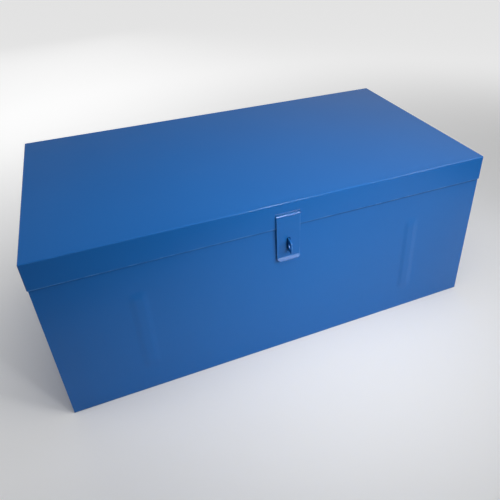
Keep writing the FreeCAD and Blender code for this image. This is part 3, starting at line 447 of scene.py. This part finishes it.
def rivet(name, length):
    """A round-headed rivet along Z, its head on the plane z = 0 and its set tail below the sheets."""
    grip = length - HEAD_HEIGHT - TAIL_HEIGHT
    bpy.ops.object.select_all(action="DESELECT")
    bpy.ops.mesh.primitive_cylinder_add(
        vertices=ROUND_SIDES, radius=HEAD_RADIUS, depth=HEAD_HEIGHT, location=(0, 0, HEAD_HEIGHT / 2)
    )
    piece = bpy.context.object
    piece.name = name
    bpy.ops.object.transform_apply(location=True, rotation=False, scale=False)
    bpy.ops.object.mode_set(mode="EDIT")
    select_faces(lambda centre, normal: normal.z < -FACING)
    bpy.ops.mesh.inset(thickness=HEAD_RADIUS - SHANK_RADIUS)
    bpy.ops.mesh.extrude_region_move(TRANSFORM_OT_translate={"value": (0, 0, -grip)})
    bpy.ops.mesh.extrude_region_move(TRANSFORM_OT_translate={"value": (0, 0, 0)})
    widen = TAIL_RADIUS / SHANK_RADIUS
    bpy.ops.transform.resize(value=(widen, widen, 1))
    bpy.ops.mesh.extrude_region_move(TRANSFORM_OT_translate={"value": (0, 0, -TAIL_HEIGHT)})
    round_rim(HEAD_HEIGHT, HEAD_HEIGHT * HEAD_ROUND, HEAD_STEPS)
    round_rim(-grip - TAIL_HEIGHT, TAIL_HEIGHT * TAIL_ROUND, TAIL_STEPS)
    bpy.ops.mesh.select_all(action="SELECT")
    bpy.ops.mesh.normals_make_consistent(inside=False)
    bpy.ops.object.mode_set(mode="OBJECT")
    bpy.ops.object.shade_smooth_by_angle(angle=math.radians(SMOOTH_ANGLE))
    return piece


def rivet_row(node, body, finish, places, heading):
    """Rivets at places on the outer sheet, heads towards a direction, in the stead of a node's own."""
    low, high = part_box(node)
    axis = 0 if abs(heading.x) > 0.5 else 1
    first = rivet("round_" + node, high[axis] - low[axis])
    turn = Vector((0, 0, 1)).rotation_difference(heading)
    copies = []
    for place in places:
        bpy.ops.object.select_all(action="DESELECT")
        first.select_set(True)
        bpy.context.view_layer.objects.active = first
        bpy.ops.object.duplicate(linked=False)
        copy = bpy.context.object
        copy.rotation_euler = turn.to_euler()
        copy.location = place
        bpy.ops.object.transform_apply(location=True, rotation=True, scale=False)
        copies.append(copy)
    bpy.data.objects.remove(first)
    bpy.ops.object.select_all(action="DESELECT")
    for copy in copies:
        copy.select_set(True)
    bpy.context.view_layer.objects.active = copies[0]
    bpy.ops.object.join()
    piece = bpy.context.object
    piece.name = "round_" + node
    piece.data.materials.clear()
    piece.data.materials.append(finish)
    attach(piece, body)
    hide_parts(node)


def hinge_rivets():
    """Round-headed rivets in both leaves of the hinges, painted over."""
    for node, leaf, body in (
        ("hinge_body_rivets", "hinge_body_leaf", "chest"),
        ("hinge_lid_rivets", "hinge_lid_leaf", "lid"),
    ):
        low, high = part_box(node)
        level = (low[2] + high[2]) / 2
        sheet = high[1] - HEAD_HEIGHT
        places = []
        for side in ("left", "right"):
            leaf_low, leaf_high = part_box(side + "_" + leaf)
            middle = (leaf_low[0] + leaf_high[0]) / 2
            for way in (-0.5, 0.5):
                places.append((middle + way * HINGE_RIVET_PITCH, sheet, level))
        rivet_row(node, body, ENAMEL, places, Vector((0, 1, 0)))


def handle_rivets():
    """Round-headed rivets at the corners of the handle plates."""
    for side, way in (("left", -1), ("right", 1)):
        node = side + "_handle_rivets"
        low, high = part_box(node)
        sheet = high[0] - HEAD_HEIGHT if way > 0 else low[0] + HEAD_HEIGHT
        places = []
        for across in (low[1] + HEAD_RADIUS, high[1] - HEAD_RADIUS):
            for up in (low[2] + HEAD_RADIUS, high[2] - HEAD_RADIUS):
                places.append((sheet, across, up))
        rivet_row(node, "chest", ZINC, places, Vector((way, 0, 0)))


def seen_directly(tree):
    """1 for what the camera, gloss and glass look at, 0 for the soft light on the object."""
    rays = add_node(tree, "ShaderNodeLightPath").outputs
    direct = add_node(
        tree,
        "ShaderNodeMath",
        operation="MAXIMUM",
        i0=rays["Is Camera Ray"],
        i1=rays["Is Transmission Ray"],
    )
    return add_node(tree, "ShaderNodeMath", operation="MAXIMUM", i0=direct, i1=rays["Is Glossy Ray"])


def mirrored_dark(tree, place):
    """Painted reflection: how dark the paint's gloss sees the floor, which is darkened for gloss alone:
    pale at the lit spot, darker to its left and right.
    """
    parts = add_node(tree, "ShaderNodeSeparateXYZ", Vector=place)
    rays = add_node(tree, "ShaderNodeLightPath").outputs
    across = add_node(tree, "ShaderNodeMapRange", Value=parts.outputs["X"], **FLOOR_ACROSS, **SMOOTH)
    slant = add_node(tree, "ShaderNodeVectorMath", operation="DOT_PRODUCT", i0=place, i1=LEFT_SLANT)
    left = add_node(tree, "ShaderNodeMapRange", Value=slant.outputs["Value"], **LEFT_DARK, **SMOOTH)
    right = add_node(tree, "ShaderNodeMapRange", Value=parts.outputs["X"], **RIGHT_DARK, **SMOOTH)
    front = add_node(tree, "ShaderNodeMapRange", Value=parts.outputs["Y"], **RIGHT_DARK_FRONT, **SMOOTH)
    right = add_node(tree, "ShaderNodeMath", operation="MULTIPLY", i0=right, i1=front)
    dark = add_node(tree, "ShaderNodeMath", operation="MAXIMUM", i0=left, i1=right)
    pale = add_node(tree, "ShaderNodeMath", operation="SUBTRACT", i0=1.0, i1=dark)
    pale = add_node(tree, "ShaderNodeMath", operation="MULTIPLY", i0=across, i1=pale)
    dark = add_node(tree, "ShaderNodeMath", operation="SUBTRACT", i0=1.0, i1=pale)
    return add_node(tree, "ShaderNodeMath", operation="MULTIPLY", i0=dark, i1=rays["Is Glossy Ray"])


def floor():
    """A plain pale floor under the chest; far off, past the lamps' reach, it glows like the backdrop."""
    bpy.ops.object.select_all(action="DESELECT")
    bpy.ops.mesh.primitive_plane_add(size=FLOOR_SIZE, location=(0, 0, 0))
    plane = bpy.context.object
    plane.name = "floor"
    material, tree, shader = new_material("matt_white_floor")
    place = add_node(tree, "ShaderNodeTexCoord").outputs["Object"]
    dark = mirrored_dark(tree, place)
    # Painted reflection: the floor turns dark for gloss alone, to the left and right of the lit spot.
    colour = add_node(tree, "ShaderNodeMix", data_type="RGBA", Factor=dark, A=FLOOR_COLOUR, B="000000")
    away = add_node(tree, "ShaderNodeVectorMath", operation="DISTANCE", i0=place, i1=LIT_SPOT)
    glow = add_node(tree, "ShaderNodeMapRange", Value=away.outputs["Value"], **GLOW_FAR_OFF, **SMOOTH)
    glow = add_node(tree, "ShaderNodeMath", operation="MULTIPLY", i0=glow, i1=seen_directly(tree))
    add_node(tree, shader, Base_Color=colour, Roughness=FLOOR_ROUGHNESS, Specular_IOR_Level=0.0)
    add_node(tree, shader, Emission_Color="FFFFFF", Emission_Strength=glow)
    plane.data.materials.append(material)


def soft_lamp(name, place, target, side, power, spread, in_gloss):
    """A square softbox at a place, aimed at a target, out of the camera's sight."""
    lamp = bpy.data.lights.new(name, "AREA")
    lamp.size = side
    lamp.energy = power
    lamp.spread = math.radians(spread)
    holder = bpy.data.objects.new(name, lamp)
    bpy.context.collection.objects.link(holder)
    holder.location = place
    holder.rotation_euler = (Vector(target) - Vector(place)).to_track_quat("-Z", "Y").to_euler()
    holder.visible_camera = False
    holder.visible_glossy = in_gloss


def studio():
    """A pale room, brighter to the right and dim towards its front, and soft lamps round the chest."""
    world = bpy.data.worlds.new("studio")
    bpy.context.scene.world = world
    world.use_nodes = True
    tree = world.node_tree
    direction = add_node(tree, "ShaderNodeTexCoord").outputs["Generated"]
    parts = add_node(tree, "ShaderNodeSeparateXYZ", Vector=direction)
    side = add_node(tree, "ShaderNodeMapRange", Value=parts.outputs["X"], **ROOM_SIDE, **SMOOTH)
    height = add_node(tree, "ShaderNodeMapRange", Value=parts.outputs["Z"], **ROOM_HEIGHT, **SMOOTH)
    depth = add_node(tree, "ShaderNodeMapRange", Value=parts.outputs["Y"], **ROOM_DEPTH, **SMOOTH)
    room = add_node(tree, "ShaderNodeMath", operation="ADD", i0=side, i1=height)
    room = add_node(tree, "ShaderNodeMath", operation="MULTIPLY", i0=room, i1=depth)
    # The pale backdrop behind the floor's far edge.
    backdrop = add_node(tree, "ShaderNodeMapRange", Value=parts.outputs["Z"], **BACKDROP, **SMOOTH)
    backdrop = add_node(tree, "ShaderNodeMath", operation="MULTIPLY", i0=backdrop, i1=seen_directly(tree))
    strength = add_node(tree, "ShaderNodeMath", operation="MAXIMUM", i0=room, i1=backdrop)
    add_node(tree, tree.nodes["Background"], Color="FFFFFF", Strength=strength)
    for lamp in LAMPS:
        soft_lamp(*lamp)


def camera():
    """The camera where the photo was taken from."""
    lens = bpy.data.cameras.new("camera")
    lens.sensor_width = SENSOR
    lens.lens = FOCAL_SHARE * SENSOR
    lens.shift_x = 0.5 - MIDDLE_X
    lens.shift_y = MIDDLE_Y - 0.5
    lens.clip_end = VIEW_END
    holder = bpy.data.objects.new("camera", lens)
    bpy.context.collection.objects.link(holder)
    axes = Matrix((CAMERA_RIGHT, -CAMERA_DOWN, -CAMERA_FORWARD)).transposed()
    holder.matrix_world = Matrix.Translation(CAMERA_PLACE) @ axes.to_4x4()
    bpy.context.scene.camera = holder


dress_nodes()
hinge_rivets()
handle_rivets()
floor()
studio()
camera()
bpy.context.scene.view_settings.view_transform = "Standard"
